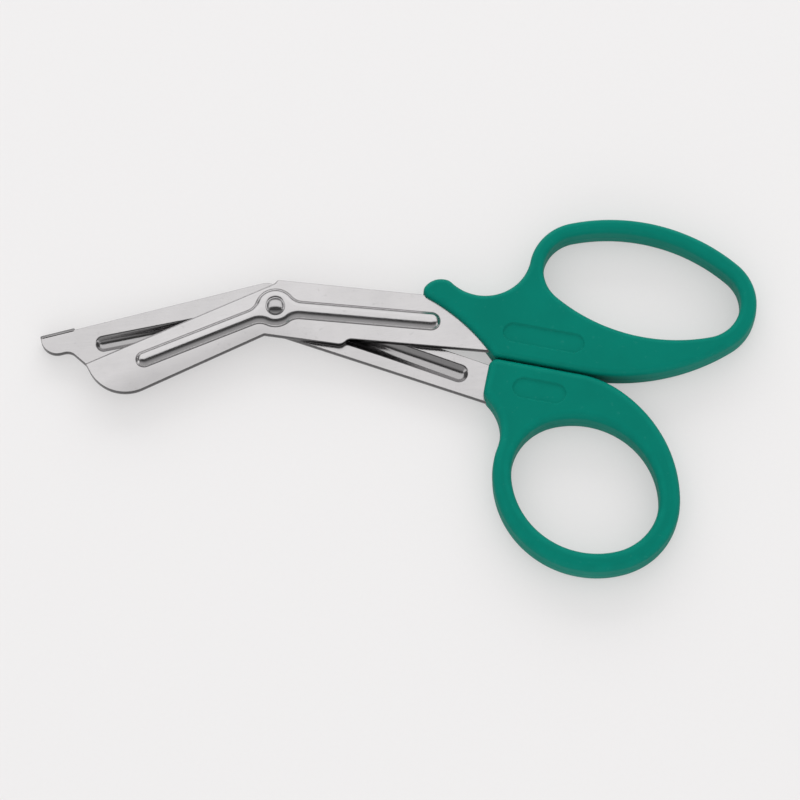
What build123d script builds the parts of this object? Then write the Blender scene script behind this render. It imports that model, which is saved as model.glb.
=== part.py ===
from build123d import *
import os
from math import atan2, cos, degrees, hypot, pi, radians, sin, sqrt, tan

# Bandage scissors, closed and lying on a table with the front blade up, in millimetres.
# X runs along the scissors from the tips to the loops, Y across them, Z up.
# The origin is on the pivot's axis, level with the table.

# Stamped sheet of both blades
SHEET = 1.8
BLADE_GAP = 0.1
BEVEL_WIDTH = 0.5
BEVEL_DEPTH = 1.3

# Stamped rib and pivot boss, sizes taken at their foot
RIB_HEIGHT = 1.3
RIB_SLOPE = 38.0
BLADE_RIB = 4.4
TANG_RIB = 5.0
RIB_LAG = 3.0
BOSS_RADIUS = 5.4
BOSS_BLEND = 4.0
GROOVE_INSET = 0.3

# Front blade, whose axis passes through the pivot
FRONT_DROOP = 25.8
FRONT_TAPER = 1.2
FRONT_LENGTH = 52.3
FRONT_EDGE = 6.95
FRONT_BACK = 5.4
FRONT_CREST = 8.0
FRONT_NOSE_FALL = 62.8
FRONT_NOSE_ROUND = 10.6
FRONT_RIB_STOP = 12.4
FRONT_TANG = 13.9
FRONT_TANG_RIB_STOP = 15.3

# Rear blade, with a blunt foot folded along the end of its back
REAR_DROOP = 14.9
REAR_LENGTH = 62.5
REAR_EDGE = 4.8
REAR_BACK = 8.4
REAR_CREST = 6.3
REAR_RIB_STOP = 13.6
REAR_TANG = 10.1
REAR_TANG_RIB_STOP = 5.0
NOSE_LENGTH = 11.8
NOSE_HEIGHT = 5.6
NOSE_ROUND = 4.3
HEEL_ROUND = 3.0
NOSE_FALL = 56.9
FOOT_LENGTH = 9.5
FOOT_DEPTH = 3.9
FOOT_SHEET = 1.4
FOOT_PROUD = 0.6
FOOT_ROUND = 0.45

# Shoulder on the inner edge of each tang, and the tail moulded into the handle
SHOULDER = 1.8
SHOULDER_REACH = 18.5
FRONT_COVER = 2.0
REAR_COVER = 1.2
TANG_BITE = 3.5
TAIL_LENGTH = 9.0
TAIL_WIDTH = 6.0
CORNER_ROUND = 0.8

# Rivet, fixed in the rear blade
SHANK = 3.4
HEAD = 4.9
HEAD_RISE = 0.9
TAIL_HEAD = 6.2
RIVET_EDGE = 0.3
PIVOT_CLEARANCE = 0.05
RIVET_SEAT = 0.02

# Moulded handles, whose closed faces meet along a straight seam
HANDLE_THICK = 8.8
ROUND_WIDTH = 2.2
ROUND_HEIGHT = 2.0
ROUND_BREAK = 54.0
SEAM_FALL = 11.1
SEAM_DROP = 2.9
SEAM_GAP = 0.3
POCKET_DEPTH = 0.4

# Finger handle: places are along the seam from the pivot, and away from the handle's own face on it
FINGER_START = 59.1
FINGER_CORNER = 2.2
FINGER_TIP = 38.5
FINGER_BUMP_FLAT = 2.0
FINGER_BUMP_HEIGHT = 19.0
FINGER_BUMP_ROUND = 2.9
FINGER_FRONT_HOLLOW = 42.6
FINGER_SADDLE_DIP = 2.6
FINGER_REACH = 78.2
FINGER_RISE = 28.6
FINGER_SPAN = 33.6
FINGER_TILT = -4.3
FINGER_NEAR = 10.0
FINGER_FAR = 10.3
FINGER_ROOF = 46.6
FINGER_FLOOR = 47.7
FINGER_RING = 4.0
FINGER_BELLY = 56.1
FINGER_HEEL = 31.2
FINGER_HEEL_LEAD = 11.1
FINGER_POCKET_LEAD = 1.7
FINGER_POCKET_RISE = 7.3
FINGER_POCKET_LENGTH = 22.0
FINGER_POCKET_WIDTH = 5.7

# Thumb handle, by the same rules
THUMB_START = 58.8
THUMB_CORNER = 2.5
THUMB_BUMP_DROP = 8.8
THUMB_BUMP_ROUND = 4.1
THUMB_NOTCH = 13.0
THUMB_REACH = 84.8
THUMB_DROP = 27.9
THUMB_SPAN = 11.9
THUMB_TILT = -27.5
THUMB_NEAR = 14.7
THUMB_FAR = 14.8
THUMB_SIDE = 22.2
THUMB_RING = 5.1
THUMB_SHOULDER = 27.0
THUMB_SHOULDER_LEAD = 9.3
THUMB_BACK = 37.2
THUMB_POCKET_LEAD = 7.4
THUMB_POCKET_DROP = 7.3
THUMB_POCKET_LENGTH = 14.4
THUMB_POCKET_WIDTH = 6.0

# Levels, all worked out from the handles that lie on the table
MID_LEVEL = HANDLE_THICK / 2
FRONT_LEVEL = MID_LEVEL + BLADE_GAP / 2
REAR_LEVEL = MID_LEVEL - BLADE_GAP / 2
STAMPED = SHEET + RIB_HEIGHT

# Circles whose common tangent is shorter than this share of their distance touch
TOUCHING = 1e-6
# A linking arc's radius is at least this many times the least one that reaches
ARC_SLACK = 1.05
# A rounding takes at most this share of the wall it lies on
ROUND_LIMIT = 0.9


def polar(angle, along, across=0.0):
    """The point this far along a line through the pivot at this angle, and this far to its left."""
    c, s = cos(radians(angle)), sin(radians(angle))
    return along * c - across * s, along * s + across * c


def on_seam(along, away):
    """A point given along the seam and away from it, the finger handle's side being positive."""
    return polar(-SEAM_FALL, along, away - SEAM_DROP)


def shifted(point, angle, distance):
    """The point moved by a distance at an angle."""
    dx, dy = polar(angle, distance)
    return point[0] + dx, point[1] + dy


def crossing(p, p_angle, q, q_angle):
    """The point where a line through p meets a line through q."""
    (ux, uy), (vx, vy) = polar(p_angle, 1), polar(q_angle, 1)
    reach = ((q[0] - p[0]) * vy - (q[1] - p[1]) * vx) / (ux * vy - uy * vx)
    return p[0] + reach * ux, p[1] + reach * uy


def straight_link(a, b):
    """Touching points of the straight line from circle a to circle b, each (x, y, signed radius)."""
    dx, dy = b[0] - a[0], b[1] - a[1]
    apart = hypot(dx, dy)
    lean = (a[2] - b[2]) / apart
    side = sqrt(max(0, 1 - lean * lean))
    nx = (lean * dx + side * dy) / apart
    ny = (lean * dy - side * dx) / apart
    start = (a[0] + a[2] * nx, a[1] + a[2] * ny)
    if side < TOUCHING:
        return start, start
    return start, (b[0] + b[2] * nx, b[1] + b[2] * ny)


def reaching(a, b, radius):
    """The radius, or the least that lets an arc reach from circle a to circle b, hollow if it is negative."""
    apart = hypot(b[0] - a[0], b[1] - a[1])
    if radius > 0:
        return max(radius, ARC_SLACK * (apart + a[2] + b[2]) / 2)
    return min(radius, -ARC_SLACK * (apart - a[2] - b[2]) / 2)


def arc_link(a, b, radius):
    """Centre, radius and touching points of the arc that joins circle a to circle b."""
    dx, dy = b[0] - a[0], b[1] - a[1]
    apart = hypot(dx, dy)
    to_a, to_b = abs(radius - a[2]), abs(radius - b[2])
    along = (to_a**2 - to_b**2 + apart**2) / (2 * apart)
    across = sqrt(to_a**2 - along**2) * (1 if radius > 0 else -1)
    centre = (a[0] + (along * dx - across * dy) / apart, a[1] + (along * dy + across * dx) / apart)
    touching = []
    for x, y, r in (a, b):
        share = radius / (radius - r)
        touching.append((centre[0] + share * (x - centre[0]), centre[1] + share * (y - centre[1])))
    return centre, radius, touching


def arc(centre, radius, start, end):
    """Arc round a centre, counter-clockwise if the radius is positive, or None if it has no length."""
    first = atan2(start[1] - centre[1], start[0] - centre[0])
    last = atan2(end[1] - centre[1], end[0] - centre[0])
    turn = (last - first) % (2 * pi) if radius > 0 else -((first - last) % (2 * pi))
    if min(abs(turn), 2 * pi - abs(turn)) < TOUCHING:
        return None
    middle = shifted(centre, degrees(first + turn / 2), abs(radius))
    return ThreePointArc(start, middle, end)


def belt(stations, grow=0.0):
    """Face inside a belt that runs counter-clockwise round circles (x, y, radius, link to the next one).

    A link of None is straight. A number is the radius of an arc, hollow if it is negative.
    The grown belt lies that far outside the first one all round.
    """
    circles = [(x, y, radius + grow) for x, y, radius, _ in stations]
    links = []
    for i, here in enumerate(stations):
        after = (i + 1) % len(stations)
        if here[3] is None:
            links.append((None, None, straight_link(circles[i], circles[after])))
        else:
            radius = reaching(here, stations[after], here[3]) + grow
            links.append(arc_link(circles[i], circles[after], radius))
    edges = []
    for i, (x, y, radius) in enumerate(circles):
        edges.append(arc((x, y), radius, links[i - 1][2][1], links[i][2][0]))
        centre, bend, (start, end) = links[i]
        if centre is not None:
            edges.append(arc(centre, bend, start, end))
        elif start != end:
            edges.append(Line(start, end))
    return make_face([edge for edge in edges if edge is not None])


def tapered(stations, low, high, height):
    """Solid this high on a belt that is grown by one distance at its foot and by another at its top."""
    return loft([belt(stations, low), Pos(Z=height) * belt(stations, high)], ruled=True)


def rounded(*corners):
    """Face of a polygon whose corners are (point, radius)."""
    points = [point for point, _ in corners]
    return make_face(FilletPolyline(*points, radius=[radius for _, radius in corners], close=True))


def tang_way(start, away):
    """Angle and length of the straight tang from the pivot to its place at the front of a handle."""
    x, y = on_seam(start, away)
    return degrees(atan2(y, x)), hypot(x, y)


FRONT_TANG_ANGLE, FRONT_TANG_LENGTH = tang_way(FINGER_START, FRONT_COVER + FRONT_TANG / 2)
REAR_TANG_ANGLE, REAR_TANG_LENGTH = tang_way(THUMB_START, -SEAM_GAP - REAR_COVER - REAR_TANG / 2)


def tail_corners(angle, start, width):
    """Corners of a tang's inner end, from its lower edge round to its upper edge."""
    end = start + TAIL_LENGTH
    half, tail = width / 2, TAIL_WIDTH / 2
    places = ((start, -half), (start, -tail), (end, -tail), (end, tail), (start, tail), (start, half))
    return [(polar(angle, along, across), 0) for along, across in places]


def front_outline():
    """Outline of the front blade, whose cutting edge is its upper one."""
    half = FRONT_TANG / 2
    end = FRONT_TANG_LENGTH + TANG_BITE
    back = polar(FRONT_DROOP, 0, -FRONT_BACK)
    shoulder = polar(FRONT_TANG_ANGLE, SHOULDER_REACH, -half - SHOULDER)
    inner = polar(FRONT_TANG_ANGLE, SHOULDER_REACH + SHOULDER, -half)
    crest = polar(FRONT_TANG_ANGLE, 0, FRONT_CREST)
    crest_angle = FRONT_TANG_ANGLE - degrees(atan2(FRONT_CREST - half, end))
    edge_angle = FRONT_DROOP - FRONT_TAPER
    edge = polar(edge_angle, 0, FRONT_EDGE)
    point = polar(edge_angle, -FRONT_LENGTH, FRONT_EDGE)
    return rounded(
        (crossing(back, FRONT_DROOP, shoulder, FRONT_TANG_ANGLE - RIB_LAG), CORNER_ROUND),
        (shoulder, CORNER_ROUND),
        (inner, CORNER_ROUND),
        *tail_corners(FRONT_TANG_ANGLE, end, FRONT_TANG),
        (crossing(edge, edge_angle, crest, crest_angle), CORNER_ROUND),
        (point, 0),
        (crossing(point, -FRONT_NOSE_FALL, back, FRONT_DROOP), FRONT_NOSE_ROUND),
    )


def rear_outline():
    """Outline of the rear blade, whose cutting edge is its lower one, with its blunt nose."""
    half = REAR_TANG / 2
    end = REAR_TANG_LENGTH + TANG_BITE
    crest = polar(REAR_TANG_ANGLE, 0, -REAR_CREST)
    crest_angle = REAR_TANG_ANGLE + degrees(atan2(REAR_CREST - half, end))
    shoulder = polar(REAR_TANG_ANGLE, SHOULDER_REACH, half + SHOULDER)
    inner = polar(REAR_TANG_ANGLE, SHOULDER_REACH + SHOULDER, half)
    nose_floor = REAR_BACK - NOSE_HEIGHT
    heel = polar(REAR_DROOP, NOSE_LENGTH / 2 - REAR_LENGTH, nose_floor)
    edge = polar(REAR_DROOP, 0, -REAR_EDGE)
    fall = polar(REAR_DROOP, NOSE_LENGTH - REAR_LENGTH, -REAR_EDGE)
    return rounded(
        (crossing(edge, REAR_DROOP, crest, crest_angle), CORNER_ROUND),
        *tail_corners(REAR_TANG_ANGLE, end, REAR_TANG),
        (inner, CORNER_ROUND),
        (shoulder, CORNER_ROUND),
        (crossing(shoulder, REAR_TANG_ANGLE, polar(REAR_DROOP, 0, REAR_BACK), REAR_DROOP), BOSS_RADIUS),
        (polar(REAR_DROOP, -REAR_LENGTH, REAR_BACK), CORNER_ROUND),
        (polar(REAR_DROOP, -REAR_LENGTH, nose_floor), min(NOSE_ROUND, ROUND_LIMIT * (NOSE_HEIGHT - CORNER_ROUND))),
        (crossing(heel, REAR_DROOP, fall, REAR_DROOP - NOSE_FALL), HEEL_ROUND),
        (fall, CORNER_ROUND),
    )


def rib_stations(blade_angle, blade_end, tang_angle, tang_end):
    """Belt round the foot of the rib that runs from the blade over the round boss to the tang."""

    def hollow(angle, width, side):
        """Hollow corner between the boss and one side of a rib that leaves it at this angle."""
        off = width / 2 + BOSS_BLEND
        x, y = polar(angle, sqrt((BOSS_RADIUS + BOSS_BLEND) ** 2 - off**2), side * off)
        return x, y, -BOSS_BLEND, None

    blade_way = blade_angle - RIB_LAG + 180
    boss = (0, 0, BOSS_RADIUS, None)
    return [
        (*polar(blade_way, blade_end - BLADE_RIB / 2), BLADE_RIB / 2, None),
        hollow(blade_way, BLADE_RIB, 1),
        boss,
        hollow(tang_angle, TANG_RIB, -1),
        (*polar(tang_angle, tang_end - TANG_RIB / 2), TANG_RIB / 2, None),
        hollow(tang_angle, TANG_RIB, 1),
        boss,
        hollow(blade_way, BLADE_RIB, -1),
    ]


def resting(end, end_radius, radius, lead, link):
    """Centre of a circle on the seam, this far before the one that would hold the loop's end and touch it.

    It stays where an arc of the link's radius still leads from it to the loop's end.
    Places here are (along, away) from the handle's own face.
    """
    along, away = end
    reach = sqrt(max(0, (radius - end_radius) ** 2 - (away - radius) ** 2))
    furthest = sqrt(max(0, (link - end_radius) ** 2 - (away - link) ** 2))
    return along - min(reach + lead, furthest / ARC_SLACK), radius


def dipping(a, b, level):
    """Radius of the hollow arc between circles (along, away, radius) that touches both and dips to a level."""
    rise_a, rise_b = a[1] + a[2] - level, b[1] + b[2] - level
    spare_a = a[2] ** 2 - (level - a[1]) ** 2
    spare_b = b[2] ** 2 - (level - b[1]) ** 2
    apart = b[0] - a[0]
    ratio = rise_b / rise_a
    rest = apart**2 + ratio * spare_a - spare_b
    reach = rest / (apart + sqrt(apart**2 - (1 - ratio) * rest))
    return (reach**2 - spare_a) / (2 * rise_a)


def stamped(outline, rib, bore, edge_middle):
    """Blade lying on its inner face, with its rib stamped up and its cutting edge ground from above."""
    sheet = extrude(outline, SHEET)
    edge = sheet.edges().sort_by_distance((*edge_middle, SHEET))[0]
    top = sheet.faces().sort_by(Axis.Z)[-1]
    sheet = chamfer(edge, BEVEL_WIDTH, BEVEL_DEPTH, reference=top)
    lean = RIB_HEIGHT * tan(radians(RIB_SLOPE))
    bead = Pos(Z=SHEET) * tapered(rib, 0, -lean, RIB_HEIGHT)
    groove = tapered(rib, -GROOVE_INSET, -GROOVE_INSET - lean, RIB_HEIGHT)
    return sheet + bead - groove - Cylinder(bore, STAMPED, align=(Align.CENTER, Align.CENTER, Align.MIN))


def front_blade():
    rib = rib_stations(FRONT_DROOP, FRONT_LENGTH - FRONT_RIB_STOP,
                       FRONT_TANG_ANGLE, FRONT_TANG_LENGTH - FRONT_TANG_RIB_STOP)
    edge = polar(FRONT_DROOP - FRONT_TAPER, -FRONT_LENGTH / 2, FRONT_EDGE)
    return Pos(Z=FRONT_LEVEL) * stamped(front_outline(), rib, SHANK / 2 + PIVOT_CLEARANCE, edge)


def rear_blade():
    rib = rib_stations(REAR_DROOP, REAR_LENGTH - REAR_RIB_STOP,
                       REAR_TANG_ANGLE, REAR_TANG_LENGTH - REAR_TANG_RIB_STOP)
    edge = polar(REAR_DROOP, -REAR_LENGTH / 2, -REAR_EDGE)
    blade = stamped(rear_outline(), rib, SHANK / 2 + RIVET_SEAT, edge) + foot()
    return Pos(Z=REAR_LEVEL) * mirror(blade, about=Plane.XY)


def foot():
    """Blunt foot that stands up from the back of the nose, before the blade is turned over."""
    bar = Box(FOOT_LENGTH, FOOT_SHEET, FOOT_DEPTH, align=(Align.MIN, Align.MAX, Align.MIN))
    outer = bar.edges().filter_by(Axis.X).sort_by(Axis.Y)[-2:]
    bar = fillet(outer, min(FOOT_ROUND, ROUND_LIMIT * FOOT_SHEET / 2))
    x, y = polar(REAR_DROOP, -REAR_LENGTH, REAR_BACK + FOOT_PROUD)
    return Pos(x, y) * Rot(Z=REAR_DROOP) * bar


def rivet():
    """Rivet with a domed head in front and a flat one behind, which is level with the table."""
    rear_seat = REAR_LEVEL - STAMPED
    front_seat = FRONT_LEVEL + STAMPED + PIVOT_CLEARANCE
    shank, head, tail = SHANK / 2, HEAD / 2, TAIL_HEAD / 2
    outline = Polyline(
        (0, 0), (tail - RIVET_EDGE, 0), (tail, RIVET_EDGE), (tail, rear_seat),
        (shank, rear_seat), (shank, front_seat), (0, front_seat), close=True,
    )
    turned = revolve(Plane.XZ * make_face(outline), Axis.Z)
    dome = (head**2 + HEAD_RISE**2) / (2 * HEAD_RISE)
    ball = Pos(Z=front_seat + HEAD_RISE - dome) * Rot(Y=90) * Sphere(dome)
    blank = Pos(Z=front_seat) * Cylinder(head, HEAD_RISE, align=(Align.CENTER, Align.CENTER, Align.MIN))
    return turned + (blank & ball)


def section(ring, corner):
    """Steps (inset, level) of a handle's side from its middle plane up, straight first and then rounded."""
    wall = MID_LEVEL - ROUND_HEIGHT
    width = min(ROUND_WIDTH, ROUND_LIMIT * ring / 2, ROUND_LIMIT * corner)
    turn = radians(ROUND_BREAK)
    return [
        (0.0, 0.0),
        (0.0, wall),
        (width * (1 - cos(turn)), wall + ROUND_HEIGHT * sin(turn)),
        (width, MID_LEVEL),
    ]


def moulded(outline, hole, ring, corner, tang, pocket):
    """Handle built up in sloped slices from its middle plane, with its tang's seat and a pocket on top."""
    slices = []
    steps = section(ring, corner)
    for (inset, low), (next_inset, high) in zip(steps, steps[1:]):
        rim = tapered(outline, -inset, -next_inset, high - low)
        slices.append(Pos(Z=low) * (rim - tapered(hole, inset, next_inset, high - low)))
    half = slices[0].fuse(*slices[1:])
    body = half + mirror(half, about=Plane.XY)
    body -= Pos(Z=MID_LEVEL) * extrude(pocket, -POCKET_DEPTH)
    return Pos(Z=MID_LEVEL) * body - tang


def finger_handle(tang):
    near = (FINGER_REACH, FINGER_RISE)
    far = shifted(near, FINGER_TILT, FINGER_SPAN)
    near_ring, far_ring = FINGER_NEAR + FINGER_RING, FINGER_FAR + FINGER_RING
    heel = resting(far, far_ring, FINGER_HEEL, FINGER_HEEL_LEAD, FINGER_BELLY)
    bump_level = FINGER_BUMP_HEIGHT - FINGER_BUMP_ROUND
    bump = (FINGER_TIP + FINGER_BUMP_ROUND + FINGER_BUMP_FLAT, bump_level)
    saddle = dipping((*bump, FINGER_BUMP_ROUND), (*near, near_ring), FINGER_BUMP_HEIGHT - FINGER_SADDLE_DIP)
    outline = [
        (*on_seam(FINGER_START + FINGER_CORNER, FINGER_CORNER), FINGER_CORNER, None),
        (*on_seam(*heel), FINGER_HEEL, FINGER_BELLY),
        (*on_seam(*far), far_ring, FINGER_ROOF + FINGER_RING),
        (*on_seam(*near), near_ring, -saddle),
        (*on_seam(*bump), FINGER_BUMP_ROUND, None),
        (*on_seam(FINGER_TIP + FINGER_CORNER, bump_level), FINGER_CORNER, -FINGER_FRONT_HOLLOW),
    ]
    hole = [(*on_seam(*near), FINGER_NEAR, FINGER_FLOOR), (*on_seam(*far), FINGER_FAR, FINGER_ROOF)]
    pocket_middle = FINGER_START + FINGER_POCKET_LEAD + FINGER_POCKET_LENGTH / 2
    pocket = Pos(*on_seam(pocket_middle, FINGER_POCKET_RISE)) * SlotOverall(
        FINGER_POCKET_LENGTH, FINGER_POCKET_WIDTH, rotation=-SEAM_FALL)
    return moulded(outline, hole, FINGER_RING, FINGER_CORNER, tang, pocket)


def thumb_handle(tang):
    def place(along, drop):
        """A point given along the seam and down from the thumb handle's own face on it."""
        return on_seam(along, -SEAM_GAP - drop)

    near_ring, far_ring = THUMB_NEAR + THUMB_RING, THUMB_FAR + THUMB_RING
    near = (max(THUMB_REACH, THUMB_START + near_ring), THUMB_DROP)
    far = shifted(near, -THUMB_TILT, THUMB_SPAN)
    shoulder = resting(far, far_ring, THUMB_SHOULDER, THUMB_SHOULDER_LEAD, THUMB_BACK)
    outline = [
        (*place(*shoulder), THUMB_SHOULDER, None),
        (*place(THUMB_START + THUMB_CORNER, THUMB_CORNER), THUMB_CORNER, None),
        (*place(THUMB_START + THUMB_BUMP_ROUND, THUMB_BUMP_DROP), THUMB_BUMP_ROUND, -THUMB_NOTCH),
        (*place(*near), near_ring, THUMB_SIDE + THUMB_RING),
        (*place(*far), far_ring, THUMB_BACK),
    ]
    hole = [(*place(*near), THUMB_NEAR, THUMB_SIDE), (*place(*far), THUMB_FAR, THUMB_SIDE)]
    pocket_middle = THUMB_START + THUMB_POCKET_LEAD + THUMB_POCKET_LENGTH / 2
    pocket = Pos(*place(pocket_middle, THUMB_POCKET_DROP)) * SlotOverall(
        THUMB_POCKET_LENGTH, THUMB_POCKET_WIDTH, rotation=-SEAM_FALL)
    return moulded(outline, hole, THUMB_RING, THUMB_CORNER, tang, pocket)


def main():
    front, rear = front_blade(), rear_blade()
    parts = {
        "front_blade": front,
        "rear_blade": rear,
        "finger_handle": finger_handle(front),
        "thumb_handle": thumb_handle(rear),
        "pivot_rivet": rivet(),
    }
    os.makedirs("parts", exist_ok=True)
    for name, part in parts.items():
        part.label = name
        export_step(part, f"parts/{name}.step")


main()
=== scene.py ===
"""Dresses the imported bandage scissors: stamped blades, moulded handles, pivot rivet and a pale studio."""

from math import acos, atan2, ceil, cos, pi, radians, sin, sqrt, tan

import bmesh
import bpy
from mathutils import Matrix, Vector


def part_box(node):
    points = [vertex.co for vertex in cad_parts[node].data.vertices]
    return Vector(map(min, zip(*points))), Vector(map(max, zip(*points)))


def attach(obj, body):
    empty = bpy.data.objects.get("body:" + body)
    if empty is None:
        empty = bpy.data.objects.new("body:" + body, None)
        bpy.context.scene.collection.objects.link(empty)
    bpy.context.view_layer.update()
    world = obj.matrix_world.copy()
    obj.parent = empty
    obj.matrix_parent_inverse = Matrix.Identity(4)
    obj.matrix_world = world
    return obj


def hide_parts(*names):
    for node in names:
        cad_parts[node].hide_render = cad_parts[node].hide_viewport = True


bl_info = {
    "name": "Bandage Scissors",
    "version": (1, 0, 0),
    "blender": (4, 5, 0),
    "location": "View3D > Sidebar > Scissors",
    "description": "Builds the blades, handles, rivet and studio of a pair of bandage scissors",
    "category": "Add Mesh",
}

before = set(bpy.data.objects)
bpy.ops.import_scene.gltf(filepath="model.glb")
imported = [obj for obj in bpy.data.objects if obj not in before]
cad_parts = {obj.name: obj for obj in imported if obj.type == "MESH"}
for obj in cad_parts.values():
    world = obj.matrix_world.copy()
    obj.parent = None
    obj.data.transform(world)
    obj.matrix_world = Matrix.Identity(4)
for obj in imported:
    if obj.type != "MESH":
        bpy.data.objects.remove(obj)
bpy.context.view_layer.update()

MM = 0.001
UP = Vector((0, 0, 1))
CURVE_ERROR = 0.004
LARGEST_STEP = radians(15)
SHARP_ANGLE = radians(35)
SORT_WAY = Vector((1.0, 0.618034, 0.414214))
SORT_BASE, SORT_LIMIT = 65537, 2**52

# Outlines run counter-clockwise round circles (x, y, radius, link to the next one), in millimetres.
# A link is the radius of an arc, negative where it is hollow, or None for a straight run.
FINGER_OUTLINE = [
    (59.43, -12.374, 2.2, None),
    (88.367, 11.503, 31.2, 56.1),
    (113.85, 1.08, 14.5, 50.6),
    (81.685, 10.164, 14.0, -12.3),
    (44.9, 4.7, 3.1, 5.5),
    (41.4, 4.55, 2.0, -52.0),
]
FINGER_HOLE = [(81.685, 10.164, 10.0, 47.7), (113.85, 1.12, 9.95, 46.6)]
FINGER_POCKET = (71.304, -9.505, 22.0, 5.7)
THUMB_OUTLINE = [
    (75.604, -45.609, 27.0, None),
    (59.056, -17.395, 2.5, None),
    (59.413, -23.885, 4.1, -13.0),
    (77.226, -46.844, 19.8, 27.3),
    (86.75, -54.05, 20.05, 37.2),
]
THUMB_HOLE = [(77.226, -46.844, 14.7, 22.2), (86.4, -54.2, 14.7, 22.2)]
THUMB_POCKET = (70.005, -24.435, 14.4, 6.0)
POCKET_TURN = radians(-11.1)

# Corners of a blade's blank (x, y, fillet), and the circles that its rib runs round.
FRONT_BLANK = [
    (-2.949, -7.423, 0.8),
    (17.621, -10.408, 2.2),
    (19.578, -8.780, 2.2),
    (62.008, -12.683, 0.35),
    (62.370, -8.749, 0.35),
    (71.332, -9.573, 0.35),
    (71.881, -3.599, 0.35),
    (62.919, -2.774, 0.35),
    (63.281, 1.159, 0.35),
    (0.710, 7.969, 0.8),
    (-50.446, -15.452, 0.35),
    (-44.299, -27.413, 10.6),
]
FRONT_RIB = [
    (-34.754, -14.609, 2.2, None),
    (-4.111, -8.454, -4.0, None),
    (0.0, 0.0, 5.4, None),
    (6.167, -7.095, -4.0, None),
    (41.434, -3.811, 2.5, None),
    (7.357, 5.851, -4.0, None),
    (0.0, 0.0, 5.4, None),
    (-8.916, 2.978, -4.0, None),
]
FRONT_EDGE = ((0.710, 7.969), (-50.446, -15.452))
REAR_BLANK = [
    (-2.774, -5.705, 0.8),
    (57.419, -26.542, 0.35),
    (58.127, -24.619, 0.35),
    (66.572, -27.731, 0.35),
    (68.647, -22.101, 0.35),
    (60.202, -18.989, 0.35),
    (60.911, -17.065, 0.35),
    (20.794, -2.281, 0.8),
    (19.727, 0.030, 0.8),
    (-2.193, 8.109, 5.4),
    (-62.558, -7.953, 0.8),
    (-61.118, -13.365, 4.3),
    (-54.503, -11.605, 3.0),
    (-47.761, -17.675, 0.8),
]
REAR_RIB = [
    (-45.696, -9.630, 2.2, None),
    (-5.635, -7.524, -4.0, None),
    (0.0, 0.0, 5.4, None),
    (4.124, -8.447, -4.0, None),
    (48.843, -18.000, 2.5, None),
    (8.619, 3.751, -4.0, None),
    (0.0, 0.0, 5.4, None),
    (-8.192, 4.610, -4.0, None),
]
REAR_EDGE = ((-2.774, -5.705), (-47.761, -17.675))

# Heights of the blades' inner faces, and the radii of their bores and of the recesses round the rivet's heads.
FRONT_FACE, REAR_FACE = 4.45, 4.35
FRONT_BORE, REAR_BORE = 1.75, 1.72
FRONT_SEAT, REAR_SEAT = 2.6, 3.16
SEAT_DEPTH = 0.1

# Pressed walls. A bend is the radius of its foot and the half width and height of its arched crown.
RIB_LEAN = radians(30)
RIB_BEND = (0.35, 2.1, 1.6)
GROOVE_BEND = (0.85, 1.6, 1.2)
GROOVE_INSET = 0.03
POCKET_LEAN = 0.35
POCKET_BEND = (0.35, 0.3, 0.3)
FLAT_STRIP = 0.08

# The two cuts along a cutting edge, with depths as shares of the sheet.
GRIND_STOP = 1.2
GRIND_DEPTH = 0.72
HONE_WIDTH = 0.85
HONE_DEPTH = 0.32

# The folded foot, measured along the rear blade.
REAR_DROOP = radians(14.9)
FOOT_START, FOOT_OUTER = -62.5, 9.0
FOOT_LENGTH, FOOT_THICK, FOOT_DEEP, FOOT_ROUND = 9.5, 1.4, 3.9, 0.42

# The rivet's domed head, shank and flat rear head.
HEAD_RADIUS, HEAD_RISE, HEAD_LEVEL = 2.45, 0.9, 7.6
SHANK_RADIUS = 1.7
TAIL_RADIUS, TAIL_HEIGHT, TAIL_ROUND, TAIL_BEVEL = 3.1, 1.25, 0.3, 0.15
SPIN_STEPS = 72

# Droop of the front blade, which places the painted shade below its rib, directions of the steel's grain, painted shade
# that makes the rear blade a darker copy of the same steel, and gate marks in metres.
FRONT_DROOP = radians(25.8)
FRONT_GRAIN, REAR_GRAIN = radians(10), radians(5)
FRONT_PAINTED_SHADE, REAR_PAINTED_SHADE = 1.0, 0.95
FINGER_GATE = (0.1190, 0.0128, 0.0086)
THUMB_GATE = (0.0917, -0.0723, 0.0087)

# Greys of the studio panels that the steel mirrors, as (share of the way, grey).
PANEL_RADIUS = 1.6
PANEL_REACH = 2.5
SIDE_OVERLAP = 0.2
FRONT_ARC = radians(98)
BACK_ARC = radians(26)
SIDE_ARC = radians(40)
FRONT_GREYS = ((0.0, 0.8), (0.02, 0.5), (0.05, 0.05), (0.43, 0.05), (0.62, 0.22), (0.8, 0.34), (1.0, 0.38))
BACK_GREYS = ((0.0, 0.1), (0.5, 0.14), (1.0, 0.85))
SIDE_GREYS = ((0.0, 0.12), (0.45, 0.06), (0.8, 0.2), (1.0, 0.85))

# Floor, lamps and sky in metres, and the camera's view in millimetres.
FLOOR_SIZE = 4.0
LAMP_SIZE = (3.6, 1.2)
LAMP_TARGET = (0.03, -0.02, 0)
BACK_LAMP, FRONT_LAMP = (0.03, 2.2, 1.0), (0.03, -2.0, 0.8)
SKY_COLOUR, SKY_STRENGTH = (0.871, 0.862, 0.862, 1), 1.03
SENSOR_WIDTH = 36.0
VIEW_CENTRE, VIEW_WIDTH = (33.2, -25.5, 4.4), 212.0


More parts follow.
